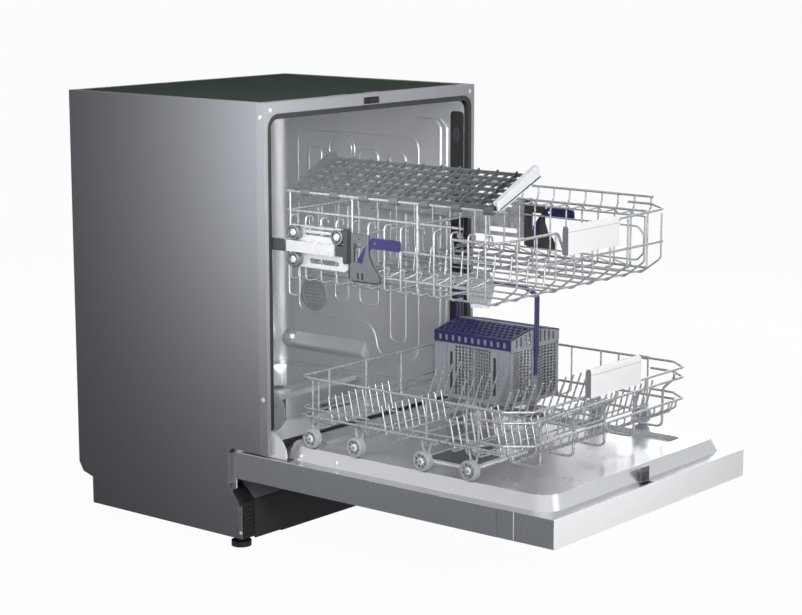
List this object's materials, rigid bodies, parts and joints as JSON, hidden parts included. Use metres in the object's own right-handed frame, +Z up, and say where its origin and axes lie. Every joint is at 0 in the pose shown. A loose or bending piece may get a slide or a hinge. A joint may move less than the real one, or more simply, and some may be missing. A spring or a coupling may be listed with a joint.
{
  "type": "undercounter dishwasher",
  "caption": "Undercounter dishwasher cabinet with its door down, drawn-out wire racks on rollers and wheels, folding cup shelf, lidded cutlery basket, spray arms and works in the base.",
  "frame": {"origin": "on the floor under the middle of the cabinet, in the base tray's underside", "axes": "+X to the right seen from the front, the front faces -Y, +Z up"},
  "size_m": [0.5998, 1.115, 0.815],
  "materials": {
    "panel_grey": "dark grey satin paint",
    "top_mat": "matt bitumen mat",
    "frame_steel": "bright brushed steel",
    "tub_steel": "satin stainless",
    "seal_black": "matt rubber",
    "black_plastic": "fine grained",
    "light_grey_plastic": "smooth",
    "rack_coat": "silver-grey coated wire",
    "handle_white": "smooth",
    "accent_purple": "blue-purple, smooth",
    "mid_grey_plastic": "smooth",
    "roller_grey": "smooth",
    "rail_steel": "bright zinc",
    "door_steel": "brushed stainless",
    "clear_grey_plastic": "smooth",
    "pump_grey": "moulded"
  },
  "bodies": {
    "cabinet": {"side_panel_left": "panel_grey", "side_panel_right": "panel_grey", "top_cover": "top_mat", "rear_panel": "panel_grey", "front_frame": "frame_steel", "tub_gasket": "seal_black", "tub_wrap": "tub_steel", "tub_rear_wall": "tub_steel", "tub_floor": "tub_steel", "base_tray": "black_plastic", "kick_plate": "black_plastic", "sump": "pump_grey", "flat_filter": "tub_steel", "water_softener": "light_grey_plastic", "wash_pump": "pump_grey", "drain_pump": "pump_grey", "inlet_valve": "light_grey_plastic", "hinge_brackets": "rail_steel", "cabinet_screws": "rail_steel", "rail_guides": "rail_steel", "vent_cover": "light_grey_plastic", "feed_pipe": "light_grey_plastic", "latch_striker": "black_plastic"},
    "door": {"door_outer_panel": "door_steel", "door_liner": "tub_steel", "control_panel": "door_steel", "door_latch": "black_plastic", "dispenser_body": "light_grey_plastic", "hinge_arms": "rail_steel"},
    "carriage": {"roller_carriage": "rail_steel"},
    "upper_rack_frame": {"upper_rack": "rack_coat", "upper_rack_handle": "handle_white", "spray_manifold": "clear_grey_plastic"},
    "lower_rack_frame": {"lower_rack": "rack_coat", "lower_rack_handle": "handle_white", "cutlery_basket": "mid_grey_plastic", "basket_handle": "accent_purple"},
    "filter_cup_body": {"filter_cup": "mid_grey_plastic"},
    "lower_spray_arm_body": {"lower_spray_arm": "clear_grey_plastic"},
    "salt_cap_body": {"salt_cap": "mid_grey_plastic"},
    "upper_rails_body": {"upper_rails": "rail_steel"},
    "front_foot_left_body": {"front_foot_left": "black_plastic"},
    "front_foot_right_body": {"front_foot_right": "black_plastic"},
    "rear_foot_body": {"rear_foot": "black_plastic"},
    "power_button_body": {"power_button": "light_grey_plastic"},
    "start_button_body": {"start_button": "light_grey_plastic"},
    "dispenser_lid_body": {"dispenser_lid": "mid_grey_plastic"},
    "rinse_cap_body": {"rinse_cap": "mid_grey_plastic"},
    "rollers_upper_rear_body": {"rollers_upper_rear": "roller_grey"},
    "rollers_upper_front_body": {"rollers_upper_front": "roller_grey"},
    "rollers_lower_body": {"rollers_lower": "roller_grey"},
    "lift_levers_body": {"lift_levers": "accent_purple"},
    "cup_shelf_body": {"cup_shelf": "mid_grey_plastic"},
    "upper_spray_arm_body": {"upper_spray_arm": "clear_grey_plastic"},
    "lower_wheels_1_body": {"lower_wheels_1": "mid_grey_plastic"},
    "lower_wheels_2_body": {"lower_wheels_2": "mid_grey_plastic"},
    "lower_wheels_3_body": {"lower_wheels_3": "mid_grey_plastic"},
    "lower_wheels_4_body": {"lower_wheels_4": "mid_grey_plastic"},
    "basket_lid_left_body": {"basket_lid_left": "accent_purple"},
    "basket_lid_right_body": {"basket_lid_right": "accent_purple"}
  },
  "joints": [
    {"name": "door_hinge", "type": "hinge", "parent": "cabinet", "child": "door", "pos_m": [0, -0.24475, 0.19175], "axis": [1, 0, 0], "range_deg": [0, 1.5], "stiffness_Nm_per_rad": 900, "springref_deg": -2.58},
    {"name": "front_left_foot_screw", "type": "slide", "parent": "cabinet", "child": "front_foot_left_body", "axis": [0, 0, -1], "range_m": [0, 0.06]},
    {"name": "front_right_foot_screw", "type": "slide", "parent": "cabinet", "child": "front_foot_right_body", "axis": [0, 0, -1], "range_m": [0, 0.06]},
    {"name": "rear_foot_screw", "type": "slide", "parent": "cabinet", "child": "rear_foot_body", "axis": [0, 0, -1], "range_m": [0, 0.06]},
    {"name": "upper_slide", "type": "slide", "parent": "cabinet", "child": "carriage", "axis": [0, 1, 0], "range_m": [0, 0.483]},
    {"name": "rail_slide", "type": "slide", "parent": "cabinet", "child": "upper_rails_body", "axis": [0, 1, 0], "range_m": [0, 0.2416]},
    {"name": "upper_rear_roll", "type": "hinge", "parent": "carriage", "child": "rollers_upper_rear_body", "pos_m": [0, -0.288, 0.592], "axis": [1, 0, 0], "continuous": true},
    {"name": "upper_front_roll", "type": "hinge", "parent": "carriage", "child": "rollers_upper_front_body", "pos_m": [0, -0.388, 0.592], "axis": [1, 0, 0], "continuous": true},
    {"name": "lower_roll", "type": "hinge", "parent": "carriage", "child": "rollers_lower_body", "pos_m": [0, -0.288, 0.5445], "axis": [1, 0, 0], "continuous": true},
    {"name": "rack_lift", "type": "slide", "parent": "carriage", "child": "upper_rack_frame", "axis": [0, 0, 1], "range_m": [0, 0.045]},
    {"name": "lift_lever_turn", "type": "hinge", "parent": "carriage", "child": "lift_levers_body", "pos_m": [0, -0.46, 0.586], "axis": [-1, 0, 0], "range_deg": [0, 12], "stiffness_Nm_per_rad": 0.4, "springref_deg": -5.73},
    {"name": "shelf_fold", "type": "hinge", "parent": "upper_rack_frame", "child": "cup_shelf_body", "pos_m": [-0.2488, -0.4915, 0.66], "axis": [0, 1, 0], "range_deg": [-50, 0]},
    {"name": "upper_arm_spin", "type": "hinge", "parent": "upper_rack_frame", "child": "upper_spray_arm_body", "pos_m": [0, -0.4915, 0.479], "axis": [0, 0, 1], "continuous": true},
    {"name": "lower_arm_spin", "type": "hinge", "parent": "cabinet", "child": "lower_spray_arm_body", "pos_m": [0, 0, 0.218], "axis": [0, 0, 1], "continuous": true},
    {"name": "lower_slide", "type": "slide", "parent": "cabinet", "child": "lower_rack_frame", "axis": [0, 1, 0], "range_m": [0, 0.525]},
    {"name": "basket_lid_left_fold", "type": "hinge", "parent": "lower_rack_frame", "child": "basket_lid_left_body", "pos_m": [0.132, -0.426, 0.38855], "axis": [0, 1, 0], "range_deg": [0, 75]},
    {"name": "basket_lid_right_fold", "type": "hinge", "parent": "lower_rack_frame", "child": "basket_lid_right_body", "pos_m": [0.148, -0.426, 0.38855], "axis": [0, -1, 0], "range_deg": [0, 75]},
    {"name": "filter_twist", "type": "hinge", "parent": "cabinet", "child": "filter_cup_body", "pos_m": [0.095, -0.07, 0.15], "axis": [0, 0, 1], "range_deg": [0, 60]},
    {"name": "salt_cap_turn", "type": "hinge", "parent": "cabinet", "child": "salt_cap_body", "pos_m": [-0.18, 0.045, 0.172], "axis": [0, 0, 1], "range_deg": [0, 180]},
    {"name": "dispenser_lid_slide", "type": "slide", "parent": "door", "child": "dispenser_lid_body", "axis": [0, -1, 0], "range_m": [0, 0.05]},
    {"name": "rinse_cap_turn", "type": "hinge", "parent": "door", "child": "rinse_cap_body", "pos_m": [-0.058, -0.555, 0.204], "axis": [0, 0, 1], "range_deg": [0, 90]},
    {"name": "power_press", "type": "slide", "parent": "door", "child": "power_button_body", "axis": [0, 0, 1], "range_m": [0, 0.0025], "stiffness_N_per_m": 400, "springref_m": -0.001},
    {"name": "start_press", "type": "slide", "parent": "door", "child": "start_button_body", "axis": [0, 0, 1], "range_m": [0, 0.0025], "stiffness_N_per_m": 400, "springref_m": -0.001},
    {"name": "wheel_1_roll", "type": "hinge", "parent": "lower_rack_frame", "child": "lower_wheels_1_body", "pos_m": [0, -0.321, 0.227], "axis": [1, 0, 0], "continuous": true},
    {"name": "wheel_2_roll", "type": "hinge", "parent": "lower_rack_frame", "child": "lower_wheels_2_body", "pos_m": [0, -0.422, 0.227], "axis": [1, 0, 0], "continuous": true},
    {"name": "wheel_3_roll", "type": "hinge", "parent": "lower_rack_frame", "child": "lower_wheels_3_body", "pos_m": [0, -0.57, 0.227], "axis": [1, 0, 0], "continuous": true},
    {"name": "wheel_4_roll", "type": "hinge", "parent": "lower_rack_frame", "child": "lower_wheels_4_body", "pos_m": [0, -0.67, 0.227], "axis": [1, 0, 0], "continuous": true}
  ],
  "couplings": [
    {"joint": "rail_slide", "follows": "upper_slide", "ratio": 0.5},
    {"joint": "upper_rear_roll", "follows": "upper_slide", "rad_per_m": -37.037},
    {"joint": "upper_front_roll", "follows": "upper_slide", "rad_per_m": -37.037},
    {"joint": "lower_roll", "follows": "upper_slide", "rad_per_m": 37.037},
    {"joint": "wheel_1_roll", "follows": "lower_slide", "rad_per_m": -57.143},
    {"joint": "wheel_2_roll", "follows": "lower_slide", "rad_per_m": -57.143},
    {"joint": "wheel_3_roll", "follows": "lower_slide", "rad_per_m": -57.143},
    {"joint": "wheel_4_roll", "follows": "lower_slide", "rad_per_m": -57.143}
  ]
}
